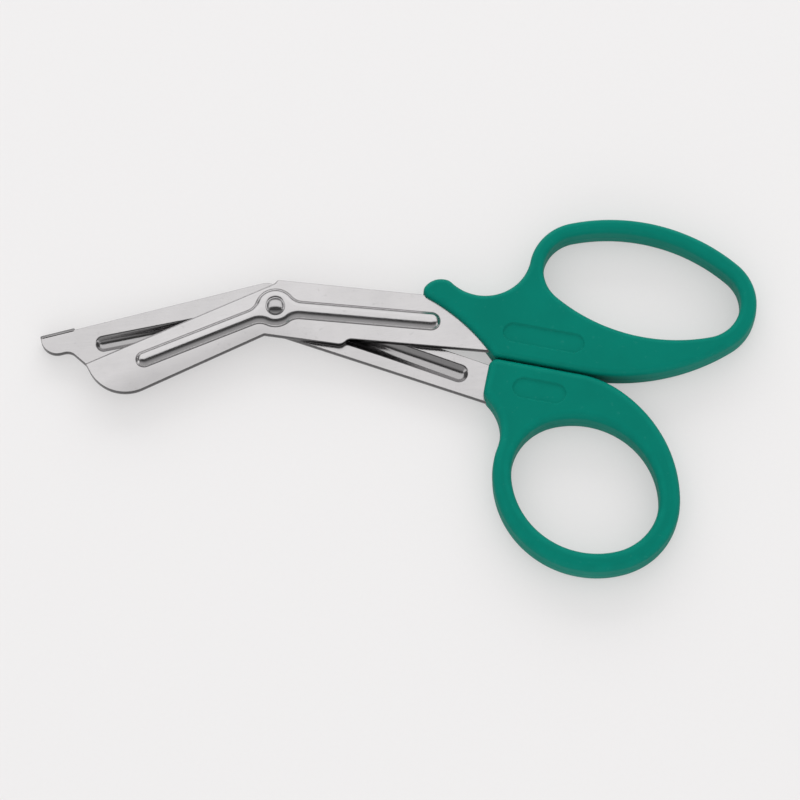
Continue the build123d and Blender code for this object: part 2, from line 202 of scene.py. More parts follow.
class ScissorsHandleSettings(bpy.types.PropertyGroup):
    """Sizes and colours of the two moulded handles."""

    colour: bpy.props.FloatVectorProperty(
        name="Plastic colour",
        description="Colour of the moulded plastic",
        subtype="COLOR",
        size=4,
        min=0,
        max=1,
        default=(0.0, 0.173, 0.128, 1),
    )
    worn_colour: bpy.props.FloatVectorProperty(
        name="Worn colour",
        description="Colour of the plastic where hands have rubbed its edges",
        subtype="COLOR",
        size=4,
        min=0,
        max=1,
        default=(0.0, 0.212, 0.158, 1),
    )
    thickness: bpy.props.FloatProperty(
        name="Thickness",
        description="Height of a handle from its underside to its top",
        unit="LENGTH",
        subtype="DISTANCE",
        default=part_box("finger_handle")[1][2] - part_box("finger_handle")[0][2],
    )
    round_height: bpy.props.FloatProperty(
        name="Rounding height",
        description="Height of the soft edge above the straight wall",
        unit="LENGTH",
        subtype="DISTANCE",
        default=2.0 * MM,
    )
    finger_round: bpy.props.FloatProperty(
        name="Finger rounding",
        description="Width of the soft edge of the finger handle",
        unit="LENGTH",
        subtype="DISTANCE",
        default=1.8 * MM,
    )
    thumb_round: bpy.props.FloatProperty(
        name="Thumb rounding",
        description="Width of the soft edge of the thumb handle",
        unit="LENGTH",
        subtype="DISTANCE",
        default=2.2 * MM,
    )
    pocket_depth: bpy.props.FloatProperty(
        name="Pocket depth",
        description="Depth of the bare slot-shaped pocket in the top",
        unit="LENGTH",
        subtype="DISTANCE",
        default=0.4 * MM,
    )


class ScissorsBladeSettings(bpy.types.PropertyGroup):
    """Sizes and colours of the steel parts."""

    colour: bpy.props.FloatVectorProperty(
        name="Steel colour",
        description="Colour of the satin blades",
        subtype="COLOR",
        size=4,
        min=0,
        max=1,
        default=(0.79, 0.778, 0.784, 1),
    )
    rivet_colour: bpy.props.FloatVectorProperty(
        name="Rivet colour",
        description="Colour of the polished rivet",
        subtype="COLOR",
        size=4,
        min=0,
        max=1,
        default=(0.66, 0.65, 0.66, 1),
    )
    sheet: bpy.props.FloatProperty(
        name="Sheet",
        description="Thickness of the sheet that the blades are stamped from",
        unit="LENGTH",
        subtype="DISTANCE",
        default=1.8 * MM,
    )
    rib_height: bpy.props.FloatProperty(
        name="Rib height",
        description="Height of the pressed rib above the sheet",
        unit="LENGTH",
        subtype="DISTANCE",
        default=1.3 * MM,
    )
    edge_round: bpy.props.FloatProperty(
        name="Edge rounding",
        description="Rounding of the tumbled edges of the sheet",
        unit="LENGTH",
        subtype="DISTANCE",
        default=0.16 * MM,
    )
    grind_width: bpy.props.FloatProperty(
        name="Grind width",
        description="Width of the ground cutting edge",
        unit="LENGTH",
        subtype="DISTANCE",
        default=0.5 * MM,
    )


class ScissorsStageSettings(bpy.types.PropertyGroup):
    """Floor, light and camera."""

    floor_colour: bpy.props.FloatVectorProperty(
        name="Floor colour",
        description="Colour of the pale floor and background",
        subtype="COLOR",
        size=4,
        min=0,
        max=1,
        default=(0.814, 0.806, 0.806, 1),
    )
    lamp_power: bpy.props.FloatProperty(
        name="Lamp power",
        description="Power of the soft lamp behind, three times that of the one in front",
        unit="POWER",
        default=38.0,
    )
    distance: bpy.props.FloatProperty(
        name="Camera distance",
        description="Distance from the camera to the scissors",
        unit="LENGTH",
        subtype="DISTANCE",
        default=1.2,
    )
    elevation: bpy.props.FloatProperty(
        name="Camera elevation",
        description="Angle of the camera above the floor",
        subtype="ANGLE",
        default=radians(70),
    )


def straight_run(start, start_radius, end, end_radius):
    """Returns both ends of the straight run that touches two circles of an outline."""
    gap = end - start
    lean = (end_radius - start_radius) / gap.length
    turn = atan2(gap.y, gap.x) + acos(max(-1.0, min(1.0, lean)))
    inward = Vector((cos(turn), sin(turn)))
    return start - inward * start_radius, end - inward * end_radius


def arc_centre(start, start_radius, end, end_radius, radius):
    """Returns the centre of the arc that touches two circles of an outline."""
    gap = end - start
    near, far = abs(radius - start_radius), abs(radius - end_radius)
    along = (gap.length_squared + near**2 - far**2) / (2 * gap.length)
    across = sqrt(near**2 - along**2)
    ahead = gap.normalized()
    side = Vector((-ahead.y, ahead.x))
    return start + ahead * along + side * (across if radius > 0 else -across)


def sweep_between(centre, start, end, radius):
    """Returns the angle turned about a centre, counter-clockwise round a solid arc and clockwise round a hollow one."""
    first, last = start - centre, end - centre
    angle = (atan2(last.y, last.x) - atan2(first.y, first.x)) % (2 * pi)
    if radius < 0:
        angle -= 2 * pi
    return 0.0 if abs(abs(angle) - 2 * pi) < 1e-7 else angle


def outline_runs(stations):
    """Turns the circles of an outline into a start point and the arcs and straight runs that follow it."""
    count = len(stations)
    links = []
    for index, (x, y, radius, link) in enumerate(stations):
        next_x, next_y, next_radius, _ = stations[(index + 1) % count]
        start, end = Vector((x, y)), Vector((next_x, next_y))
        if link is None:
            links.append((*straight_run(start, radius, end, next_radius), None, None))
            continue
        centre = arc_centre(start, radius, end, next_radius, link)
        ends = [centre + (spot - centre).normalized() * abs(link) for spot in (start, end)]
        links.append((*ends, centre, link))
    runs = []
    for index, (x, y, radius, _) in enumerate(stations):
        arriving, leaving = links[index - 1][1], links[index][0]
        middle = Vector((x, y))
        runs.append((middle, radius, sweep_between(middle, arriving, leaving, radius)))
        start, end, centre, link = links[index]
        if centre is None:
            runs.append((end - start, None, None))
        else:
            runs.append((centre, link, sweep_between(centre, start, end, link)))
    first = Vector(stations[0][:2])
    start = links[-1][1]
    return start, (start - first) / stations[0][2], runs


def rounded_corners(corners):
    """Turns a blank's corners and fillets into the circles of an outline."""
    stations = []
    for index, (x, y, fillet) in enumerate(corners):
        corner = Vector((x, y))
        back = (Vector(corners[index - 1][:2]) - corner).normalized()
        ahead = (Vector(corners[(index + 1) % len(corners)][:2]) - corner).normalized()
        reach = fillet / sin(back.angle(ahead) / 2)
        radius = fillet if ahead.cross(back) > 0 else -fillet
        centre = corner + (back + ahead).normalized() * reach
        stations.append((centre.x, centre.y, radius, None))
    return stations


def slot_outline(pocket, turn):
    """Returns the circles of a slot-shaped pocket."""
    x, y, length, width = pocket
    reach = Vector((cos(turn), sin(turn))) * (length - width) / 2
    return [(x - reach.x, y - reach.y, width / 2, None), (x + reach.x, y + reach.y, width / 2, None)]


def round_outline(radius):
    """Returns the one circle of a round hole about the pivot."""
    return [(0.0, 0.0, radius, None)]


def vertex_key(item):
    """Returns a number for an edge or a face from the places of its vertices in the mesh."""
    key = 0
    for index in sorted(vert.index for vert in item.verts):
        key = (key * SORT_BASE + index) % SORT_LIMIT
    return key


def settle_order(bm):
    """Sorts the mesh by place, because spins, extrusions and cuts leave it in an order that varies between runs."""
    bm.verts.sort(key=lambda vert: vert.co.dot(SORT_WAY))
    bm.verts.index_update()
    bm.edges.sort(key=vertex_key)
    bm.faces.sort(key=vertex_key)


def of_kind(items, kind):
    """Returns the items of one kind out of mixed geometry."""
    return [item for item in items if isinstance(item, kind)]


def sweep_section(bm, outline, section, worn_and_lit=(), sheared_and_shaded=()):
    """Draws a section of (inset, height) points and carries it round an outline by spins and extrusions."""
    # Per-vertex shares: rubbed edges, which on the steel also carry a painted highlight, and sheared edges, darkened
    # partly by painted shade.
    wear_and_sheen = bm.verts.layers.float.get("wear_and_sheen") or bm.verts.layers.float.new("wear_and_sheen")
    shear_and_shade = bm.verts.layers.float.get("shear_and_shade") or bm.verts.layers.float.new("shear_and_shade")
    if len(outline) == 1:
        x, y, radius, _ = outline[0]
        start, outward, runs = Vector((x + radius, y)), Vector((1, 0)), [(Vector((x, y)), radius, 2 * pi)]
    else:
        start, outward, runs = outline_runs(outline)
    chain = []
    for index, (inset, height) in enumerate(section):
        spot = start - outward * inset
        vert = bm.verts.new(Vector((spot.x, spot.y, height)) * MM)
        vert[wear_and_sheen] = worn_and_lit[index] if worn_and_lit else 0.0
        vert[shear_and_shade] = sheared_and_shaded[index] if sheared_and_shaded else 0.0
        chain.append(vert)
    edges = [bm.edges.new(pair) for pair in zip(chain, chain[1:])]
    first, made = list(chain), chain + edges
    for place, radius, angle in runs:
        if radius is None and place.length < 0.01:
            continue
        if radius is None:
            new = bmesh.ops.extrude_edge_only(bm, edges=of_kind(made, bmesh.types.BMEdge))["geom"]
            verts = of_kind(new, bmesh.types.BMVert)
            bmesh.ops.translate(bm, verts=verts, vec=(place.x * MM, place.y * MM, 0))
            moved = set(verts)
            made = verts + [edge for edge in of_kind(new, bmesh.types.BMEdge) if moved.issuperset(edge.verts)]
        elif abs(angle) > 1e-6:
            step = min(LARGEST_STEP, sqrt(8 * CURVE_ERROR / abs(radius)))
            steps = max(1, ceil(abs(angle) / step))
            new = bmesh.ops.spin(
                bm,
                geom=made,
                cent=(place.x * MM, place.y * MM, 0),
                axis=UP,
                angle=angle,
                steps=steps,
            )
            made = new["geom_last"]
    last = of_kind(made, bmesh.types.BMVert)
    closing = {vert: min(first, key=lambda other: (other.co - vert.co).length) for vert in last}
    bmesh.ops.weld_verts(bm, targetmap=closing)
    settle_order(bm)


def fill_level(bm, height):
    """Fills the flat face between all open rims at one height."""
    rims = [
        edge
        for edge in bm.edges
        if edge.is_boundary and all(abs(vert.co.z - height * MM) < 1e-8 for vert in edge.verts)
    ]
    bmesh.ops.triangle_fill(bm, edges=rims, use_beauty=True)


def finish_piece(bm, name, body, material):
    """Turns a bmesh into a smooth piece that rides on a body and replaces its CAD node."""
    bmesh.ops.recalc_face_normals(bm, faces=bm.faces)
    open_edges = [edge for edge in bm.edges if not edge.is_manifold]
    if open_edges:
        raise RuntimeError(f"{name}: {len(open_edges)} open edges")
    for face in bm.faces:
        face.smooth = True
    mesh = bpy.data.meshes.new(name)
    bm.to_mesh(mesh)
    bm.free()
    mesh.set_sharp_from_angle(angle=SHARP_ANGLE)
    mesh.materials.append(material)
    piece = bpy.data.objects.new(name, mesh)
    bpy.context.scene.collection.objects.link(piece)
    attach(piece, body)
    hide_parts(name[: -len("_dressed")])


def round_steps(width, height, count):
    """Returns the (inset, rise) steps of a soft edge from the wall to the flat top."""
    return [
        (width * (1 - cos(pi / 2 * step / count)), height * sin(pi / 2 * step / count)) for step in range(count + 1)
    ]


def step_bend(width, height, foot, wide, high):
    """Returns the (inset, rise) steps of a pressed wall with a rounded foot and an arched crown."""
    slope = atan2(height, width)
    foot_reach = foot * tan(slope / 2)
    steps = []
    for index in range(6):
        turn = slope * index / 5
        steps.append((-foot_reach + foot * sin(turn), foot * (1 - cos(turn))))
    arch = []
    for index in range(12):
        turn = slope * (1 - index / 11)
        reach = sqrt((wide * sin(turn)) ** 2 + (high * cos(turn)) ** 2)
        arch.append((-(wide**2) * sin(turn) / reach, height - high + high**2 * cos(turn) / reach))
    shift = arch[0][1] / tan(slope) - arch[0][0]
    return steps + [(inset + shift, up) for inset, up in arch]


def new_group(name, inputs, outputs):
    """Makes an empty shader node group with named sockets."""
    group = bpy.data.node_groups.new(name, "ShaderNodeTree")
    for label, kind, value in inputs:
        socket = group.interface.new_socket(label, in_out="INPUT", socket_type=kind)
        if value is not None:
            socket.default_value = value
    for label, kind in outputs:
        group.interface.new_socket(label, in_out="OUTPUT", socket_type=kind)
    return group, group.nodes.new("NodeGroupInput"), group.nodes.new("NodeGroupOutput")


def add_noise(tree, vector, scale, detail, rough):
    """Adds a noise texture on a vector."""
    noise = tree.nodes.new("ShaderNodeTexNoise")
    noise.inputs["Scale"].default_value = scale
    noise.inputs["Detail"].default_value = detail
    noise.inputs["Roughness"].default_value = rough
    tree.links.new(vector, noise.inputs["Vector"])
    return noise.outputs["Fac"]


def add_range(tree, value, low, high, new_low, new_high):
    """Adds a clamped Map Range node."""
    node = tree.nodes.new("ShaderNodeMapRange")
    for label, number in (("From Min", low), ("From Max", high), ("To Min", new_low), ("To Max", new_high)):
        node.inputs[label].default_value = number
    tree.links.new(value, node.inputs["Value"])
    return node.outputs["Result"]


def add_math(tree, operation, first, second):
    """Adds a Math node on sockets or plain numbers."""
    node = tree.nodes.new("ShaderNodeMath")
    node.operation = operation
    for socket, value in zip(node.inputs, (first, second)):
        if isinstance(value, (int, float)):
            socket.default_value = value
        else:
            tree.links.new(value, socket)
    return node.outputs["Value"]


def add_mix(tree, factor, first, second):
    """Adds a colour Mix node on sockets or plain colours."""
    node = tree.nodes.new("ShaderNodeMix")
    node.data_type = "RGBA"
    for socket, value in zip((node.inputs[0], node.inputs[6], node.inputs[7]), (factor, first, second)):
        if isinstance(value, bpy.types.NodeSocket):
            tree.links.new(value, socket)
        else:
            socket.default_value = value
    return node.outputs[2]


def edge_rubbing_and_sheen_group():
    """Rubbed edges: the piece's own rubbing attribute, broken up by noise; on the steel rims and rib crowns it also
    paints a highlight.
    """
    group, entry, leave = new_group(
        "Edge rubbing and sheen",
        [("Vector", "NodeSocketVector", None), ("Scale", "NodeSocketFloat", 400.0), ("Amount", "NodeSocketFloat", 1.0)],
        [("Mask", "NodeSocketFloat")],
    )
    attribute = group.nodes.new("ShaderNodeAttribute")
    attribute.attribute_name = "wear_and_sheen"
    noise = group.nodes.new("ShaderNodeTexNoise")
    noise.inputs["Detail"].default_value = 4.0
    group.links.new(entry.outputs["Vector"], noise.inputs["Vector"])
    group.links.new(entry.outputs["Scale"], noise.inputs["Scale"])
    patch = add_range(group, noise.outputs["Fac"], 0.35, 0.7, 0.35, 1.0)
    worn_and_lit = add_math(group, "MULTIPLY", attribute.outputs["Fac"], patch)
    worn_and_lit = add_math(group, "MULTIPLY", worn_and_lit, entry.outputs["Amount"])
    group.links.new(worn_and_lit, leave.inputs["Mask"])
    return group


def handling_group():
    """Handling marks: broad smears and fine specks that change colour and gloss a little."""
    group, entry, leave = new_group(
        "Handling marks",
        [("Vector", "NodeSocketVector", None)],
        [("Smears", "NodeSocketFloat"), ("Specks", "NodeSocketFloat")],
    )
    broad = add_noise(group, entry.outputs["Vector"], 55.0, 4.0, 0.6)
    group.links.new(add_range(group, broad, 0.32, 0.68, 0.0, 1.0), leave.inputs["Smears"])
    fine = add_noise(group, entry.outputs["Vector"], 700.0, 2.0, 0.5)
    group.links.new(add_range(group, fine, 0.66, 0.74, 0.0, 1.0), leave.inputs["Specks"])
    return group


def grain_group():
    """Satin grain: fine lines along the blade with a few deeper scratches."""
    group, entry, leave = new_group(
        "Satin grain",
        [("Vector", "NodeSocketVector", None)],
        [("Lines", "NodeSocketFloat"), ("Scratches", "NodeSocketFloat")],
    )
    stretch = group.nodes.new("ShaderNodeMapping")
    stretch.inputs["Scale"].default_value = (0.035, 1.0, 1.0)
    group.links.new(entry.outputs["Vector"], stretch.inputs["Vector"])
    lines = add_noise(group, stretch.outputs["Vector"], 5200.0, 3.0, 0.6)
    group.links.new(lines, leave.inputs["Lines"])
    wide = group.nodes.new("ShaderNodeMapping")
    wide.inputs["Scale"].default_value = (0.06, 1.0, 1.0)
    wide.inputs["Rotation"].default_value = (0, 0, radians(9))
    group.links.new(entry.outputs["Vector"], wide.inputs["Vector"])
    scratches = add_noise(group, wide.outputs["Vector"], 1500.0, 1.0, 0.4)
    group.links.new(add_range(group, scratches, 0.7, 0.78, 0.0, 1.0), leave.inputs["Scratches"])
    return group


def place_group(tree, group, vector):
    """Places a shared group in a material on a vector."""
    node = tree.nodes.new("ShaderNodeGroup")
    node.node_tree = group
    tree.links.new(vector, node.inputs["Vector"])
    return node


def shared_group(name, build):
    """Returns a shared group, built the first time it is needed."""
    return bpy.data.node_groups.get(name) or build()


def start_material(name, turn=0.0):
    """Makes a material and returns its tree, shader and turned Object coordinates."""
    material = bpy.data.materials.new(name)
    material.use_nodes = True
    tree = material.node_tree
    shader = tree.nodes["Principled BSDF"]
    coordinates = tree.nodes.new("ShaderNodeTexCoord")
    mapping = tree.nodes.new("ShaderNodeMapping")
    mapping.vector_type = "TEXTURE"
    mapping.inputs["Rotation"].default_value = (0, 0, turn)
    tree.links.new(coordinates.outputs["Object"], mapping.inputs["Vector"])
    return material, tree, shader, mapping.outputs["Vector"]


def add_bump(tree, shader, height, distance):
    """Feeds a height into the shader's normal."""
    bump = tree.nodes.new("ShaderNodeBump")
    bump.inputs["Distance"].default_value = distance
    tree.links.new(height, bump.inputs["Height"])
    tree.links.new(bump.outputs["Normal"], shader.inputs["Normal"])


def shaded(colour, share):
    """Returns a colour with its channels multiplied, at full alpha."""
    return tuple(channel * share for channel in colour[:3]) + (1,)


def satin_plastic(settings, name, gate):
    """Satin moulded plastic with a spark-eroded texture, smears, rubbed edges and a gate mark."""
    material, tree, shader, vector = start_material(name)
    marks = place_group(tree, shared_group("Handling marks", handling_group), vector)
    wear_and_sheen = place_group(tree, shared_group("Edge rubbing and sheen", edge_rubbing_and_sheen_group), vector)
    wear_and_sheen.inputs["Scale"].default_value = 260.0
    wear_and_sheen.inputs["Amount"].default_value = 0.55
    base = tuple(settings.colour)
    colour = add_mix(tree, marks.outputs["Smears"], base, shaded(base, 0.9))
    speck = add_math(tree, "MULTIPLY", marks.outputs["Specks"], 0.12)
    colour = add_mix(tree, speck, colour, (0.05, 0.3, 0.25, 1))
    colour = add_mix(tree, wear_and_sheen.outputs["Mask"], colour, tuple(settings.worn_colour))
    tree.links.new(colour, shader.inputs["Base Color"])
    rough = add_range(tree, marks.outputs["Smears"], 0.0, 1.0, 0.44, 0.54)
    polish = add_math(tree, "MULTIPLY", wear_and_sheen.outputs["Mask"], -0.1)
    tree.links.new(add_math(tree, "ADD", rough, polish), shader.inputs["Roughness"])
    shader.inputs["Specular IOR Level"].default_value = 0.05
    grain = add_noise(tree, vector, 3600.0, 2.0, 0.5)
    ripple = add_noise(tree, vector, 160.0, 1.0, 0.4)
    away = tree.nodes.new("ShaderNodeVectorMath")
    away.operation = "DISTANCE"
    away.inputs[1].default_value = gate
    tree.links.new(vector, away.inputs[0])
    dot = add_range(tree, away.outputs["Value"], 0.0004, 0.0006, 2.5, 0.0)
    height = add_math(tree, "ADD", grain, add_math(tree, "MULTIPLY", ripple, 1.5))
    add_bump(tree, shader, add_math(tree, "ADD", height, dot), 0.012 * MM)
    return material


def painted_shade_below_rib(tree, droop):
    """Masks the wide flat below a drooping blade's rib, where painted shade darkens it by up to a fifth."""
    place = tree.nodes.new("ShaderNodeTexCoord")
    level = tree.nodes.new("ShaderNodeMapping")
    level.inputs["Rotation"].default_value = (0, 0, -droop)
    tree.links.new(place.outputs["Object"], level.inputs["Vector"])
    parts = tree.nodes.new("ShaderNodeSeparateXYZ")
    tree.links.new(level.outputs["Vector"], parts.inputs["Vector"])
    low = add_range(tree, parts.outputs["Y"], 1.5 * MM, -4.0 * MM, 0.0, 0.2)
    past = add_range(tree, parts.outputs["X"], 8.0 * MM, -8.0 * MM, 0.0, 1.0)
    return add_math(tree, "MULTIPLY", low, past)


def satin_steel(settings, name, turn, painted_shade, droop=None):
    """Satin stainless sheet: fine grain along the blade, smears, a few scratches, brighter rubbed edges that also carry
    a painted highlight, and near-black sheared edges that are partly painted shade, with painted shade in the groove,
    seat and bore.
    """
    material, tree, shader, vector = start_material(name, turn)
    grain = place_group(tree, shared_group("Satin grain", grain_group), vector)
    marks = place_group(tree, shared_group("Handling marks", handling_group), vector)
    wear_and_sheen = place_group(tree, shared_group("Edge rubbing and sheen", edge_rubbing_and_sheen_group), vector)
    wear_and_sheen.inputs["Scale"].default_value = 500.0
    wear_and_sheen.inputs["Amount"].default_value = 0.8
    # Painted shade: the rear blade's steel is a darker copy of the front blade's.
    base = shaded(settings.colour, painted_shade)
    colour = add_mix(tree, marks.outputs["Smears"], base, shaded(base, 0.93))
    # Painted shade on the flat below the front blade's rib.
    if droop is not None:
        colour = add_mix(tree, painted_shade_below_rib(tree, droop), colour, (0, 0, 0, 1))
    lines = add_range(tree, grain.outputs["Lines"], 0.3, 0.7, 0.0, 0.16)
    colour = add_mix(tree, lines, colour, shaded(base, 0.8))
    speck = add_math(tree, "MULTIPLY", marks.outputs["Specks"], 0.12)
    colour = add_mix(tree, speck, colour, (0.3, 0.29, 0.28, 1))
    # Lighter rubbed rims and rib crown: partly real rubbing, partly a painted highlight.
    colour = add_mix(tree, wear_and_sheen.outputs["Mask"], colour, (0.82, 0.81, 0.82, 1))
    # Near-black sheared colour: the real dark sheared edge, plus painted shade at the rib's foot, in the groove, the
    # rivet's seat, the bore and on the foot's outer side.
    sheared_and_shaded = tree.nodes.new("ShaderNodeAttribute")
    sheared_and_shaded.attribute_name = "shear_and_shade"
    streaks = add_range(tree, grain.outputs["Lines"], 0.3, 0.7, 0.88, 1.0)
    torn_and_shaded = add_math(tree, "MULTIPLY", sheared_and_shaded.outputs["Fac"], streaks)
    colour = add_mix(tree, torn_and_shaded, colour, (0.035, 0.034, 0.035, 1))
    tree.links.new(colour, shader.inputs["Base Color"])
    shader.inputs["Metallic"].default_value = 1.0
    rough = add_range(tree, marks.outputs["Smears"], 0.0, 1.0, 0.15, 0.21)
    rough = add_math(tree, "ADD", rough, add_range(tree, grain.outputs["Lines"], 0.3, 0.7, -0.03, 0.04))
    tree.links.new(rough, shader.inputs["Roughness"])
    scratch = add_math(tree, "MULTIPLY", grain.outputs["Scratches"], -0.7)
    add_bump(tree, shader, add_math(tree, "ADD", grain.outputs["Lines"], scratch), 0.0012 * MM)
    return material


def polished_steel(settings, name):
    """Polished rivet steel with faint turning rings, smears and a rubbed crown."""
    material, tree, shader, vector = start_material(name)
    marks = place_group(tree, shared_group("Handling marks", handling_group), vector)
    wear_and_sheen = place_group(tree, shared_group("Edge rubbing and sheen", edge_rubbing_and_sheen_group), vector)
    rings = tree.nodes.new("ShaderNodeTexWave")
    rings.wave_type = "RINGS"
    rings.rings_direction = "Z"
    rings.inputs["Scale"].default_value = 900.0
    rings.inputs["Distortion"].default_value = 0.6
    tree.links.new(vector, rings.inputs["Vector"])
    base = tuple(settings.rivet_colour)
    colour = add_mix(tree, marks.outputs["Smears"], base, shaded(base, 0.92))
    colour = add_mix(tree, wear_and_sheen.outputs["Mask"], colour, (0.76, 0.75, 0.76, 1))
    tree.links.new(colour, shader.inputs["Base Color"])
    shader.inputs["Metallic"].default_value = 1.0
    tree.links.new(add_range(tree, marks.outputs["Smears"], 0.0, 1.0, 0.14, 0.2), shader.inputs["Roughness"])
    add_bump(tree, shader, rings.outputs["Fac"], 0.0015 * MM)
    return material


def build_blade(settings, blank, rib, edge, face, side, bore, seat):
    """Sweeps the walls of a stamped blade with its inner face at one height, rib up for side 1 and down for -1."""
    bm = bmesh.new()
    sheet, rise, soft = settings.sheet / MM, settings.rib_height / MM, settings.edge_round / MM
    lean = rise * tan(RIB_LEAN)
    rim = round_steps(soft, soft, 3)
    top = [(inset, sheet - soft + up) for inset, up in rim] + [(soft + FLAT_STRIP, sheet)]
    bottom = [(inset, sheet - height) for inset, height in reversed(top)]
    # Rim shares are rubbed edges with a painted highlight; wall shares are the dark sheared edge, partly painted shade.
    worn_and_lit = [0, 0.5, 1, 0.6, 0, 0, 0.6, 1, 0.5, 0]
    sheared_and_shaded = [0, 0, 0.2, 0.8, 1, 1, 0.8, 0.2, 0, 0]
    sweep_section(bm, rounded_corners(blank), bottom + top, worn_and_lit, sheared_and_shaded)
    wall = step_bend(lean, rise, *RIB_BEND)
    raised = [(wall[0][0] - 0.1, sheet)] + [(inset, sheet + up) for inset, up in wall]
    raised.append((raised[-1][0] + 0.05, sheet + rise))
    # Painted shade in the crease at the rib's foot.
    foot_shade = [0, 0, 0.15, 0.3, 0.2, 0] + [0] * (len(raised) - 6)
    sweep_section(bm, rib, raised, [0] * 9 + [0.2] + [0.7] * 8 + [0.2] * 2, foot_shade)
    wall = step_bend(rise, rise, *GROOVE_BEND)
    groove = [(wall[0][0] - 0.1, 0)] + list(wall)
    groove = [(inset + GROOVE_INSET, up) for inset, up in groove]
    groove.append((groove[-1][0] + 0.04, rise))
    # Painted shade deepening inside the groove.
    sweep_section(bm, rib, groove, sheared_and_shaded=[0, 0, 0, 0.05, 0.1, 0.2] + [0.3] * (len(groove) - 6))
    crown = sheet + rise
    dish = crown - SEAT_DEPTH
    recess = [(0, crown), (0.03, crown - 0.02), (0.07, dish), (0.1, dish)]
    # Painted shadow ring round the rivet's head in its seat, and painted shade down the bore.
    sweep_section(bm, round_outline(seat), recess, sheared_and_shaded=(0, 0.4, 0.6, 0.6))
    sweep_section(bm, round_outline(bore), [(0, rise), (0, dish)], sheared_and_shaded=(0.5, 1))
    for height in (0, rise, sheet, dish, crown):
        fill_level(bm, height)
    grind_edge(bm, edge, settings.grind_width / MM, GRIND_DEPTH * sheet, sheet)
    grind_edge(bm, edge, HONE_WIDTH, HONE_DEPTH * sheet, sheet)
    if side < 0:
        bmesh.ops.scale(bm, vec=(1, 1, -1), verts=bm.verts)
    bmesh.ops.translate(bm, vec=(0, 0, face * MM), verts=bm.verts)
    return bm


def grind_edge(bm, edge, width, depth, sheet):
    """Grinds a flat bevel along the cutting edge with a slanted cut that stops short of the edge's inner end."""
    inner, outer = (Vector(spot) for spot in edge)
    along = (outer - inner).normalized()
    outward = Vector((along.y, -along.x, 0))
    if outward.dot(inner.to_3d()) < 0:
        outward.negate()
    along = along.to_3d()
    stop = inner.to_3d() + along * GRIND_STOP
    bmesh.ops.bisect_plane(
        bm,
        geom=bm.verts[:] + bm.edges[:] + bm.faces[:],
        dist=1e-9,
        plane_co=stop * MM,
        plane_no=along,
    )
    settle_order(bm)
    near = [face for face in bm.faces if (face.calc_center_median() / MM - stop).dot(along) > 1e-4]
    shape = near + list(dict.fromkeys(item for face in near for item in (*face.edges, *face.verts)))
    spot = inner.to_3d() + UP * sheet - outward * width
    normal = (outward * depth + UP * width).normalized()
    bmesh.ops.bisect_plane(bm, geom=shape, dist=1e-9, plane_co=spot * MM, plane_no=normal, clear_outer=True)
    settle_order(bm)
    rim = [item for item in bm.edges if item.is_boundary]
    ends = dict.fromkeys(vert for item in rim for vert in item.verts)
    ends = [vert for vert in ends if is_on(vert, stop, along) and is_on(vert, spot, normal)]
    if len(ends) != 2:
        raise RuntimeError(f"the grind ends at {len(ends)} points")
    step = bm.edges.new(ends)
    ground = [item for item in rim if all(is_on(vert, spot, normal) for vert in item.verts)]
    bmesh.ops.triangle_fill(bm, edges=ground + [step], use_beauty=True)
    bmesh.ops.triangle_fill(bm, edges=[item for item in rim if item not in ground] + [step], use_beauty=True)


def is_on(vert, spot, normal):
    """Tells whether a vertex lies on a plane given in millimetres."""
    return abs((vert.co / MM - spot).dot(normal)) < 0.002


def add_foot(bm):
    """Adds the blunt foot, a rounded bar folded down along the end of the rear blade's back."""
    made = bmesh.ops.create_cube(bm, size=1)
    verts = made["verts"]
    bmesh.ops.scale(bm, vec=Vector((FOOT_LENGTH, FOOT_THICK, FOOT_DEEP)) * MM, verts=verts)
    edges = dict.fromkeys(edge for vert in verts for edge in vert.link_edges)
    bent = bmesh.ops.bevel(
        bm,
        geom=list(edges),
        offset=FOOT_ROUND * MM,
        offset_type="OFFSET",
        affect="EDGES",
        segments=4,
        profile=0.5,
        material=-1,
    )
    shape = list(dict.fromkeys(vert for face in bent["faces"] for vert in face.verts))
    shear_and_shade = bm.verts.layers.float["shear_and_shade"]
    # Painted shade: the foot's outer side darker, the rest a little.
    for vert in shape:
        vert[shear_and_shade] = 0.7 if vert.co.y > 0 else 0.2
    middle = Vector((FOOT_START + FOOT_LENGTH / 2, FOOT_OUTER - FOOT_THICK / 2, REAR_FACE - FOOT_DEEP / 2)) * MM
    bmesh.ops.translate(bm, vec=middle, verts=shape)
    bmesh.ops.rotate(bm, cent=(0, 0, 0), matrix=Matrix.Rotation(REAR_DROOP, 3, "Z"), verts=shape)


class SCISSORS_OT_add_blades(bpy.types.Operator):
    """Builds both stamped steel blades"""

    bl_idname = "scissors.add_blades"
    bl_label = "Add Blades"

    def execute(self, context):
        """Sweeps, grinds and places the two blades."""
        settings = context.scene.scissors_blades
        bm = build_blade(settings, FRONT_BLANK, FRONT_RIB, FRONT_EDGE, FRONT_FACE, 1, FRONT_BORE, FRONT_SEAT)
        steel = satin_steel(settings, "Satin steel front", FRONT_GRAIN, FRONT_PAINTED_SHADE, FRONT_DROOP)
        finish_piece(bm, "front_blade_dressed", "front_half", steel)
        bm = build_blade(settings, REAR_BLANK, REAR_RIB, REAR_EDGE, REAR_FACE, -1, REAR_BORE, REAR_SEAT)
        add_foot(bm)
        steel = satin_steel(settings, "Satin steel rear", REAR_GRAIN, REAR_PAINTED_SHADE)
        finish_piece(bm, "rear_blade_dressed", "rear_half", steel)
        return {"FINISHED"}


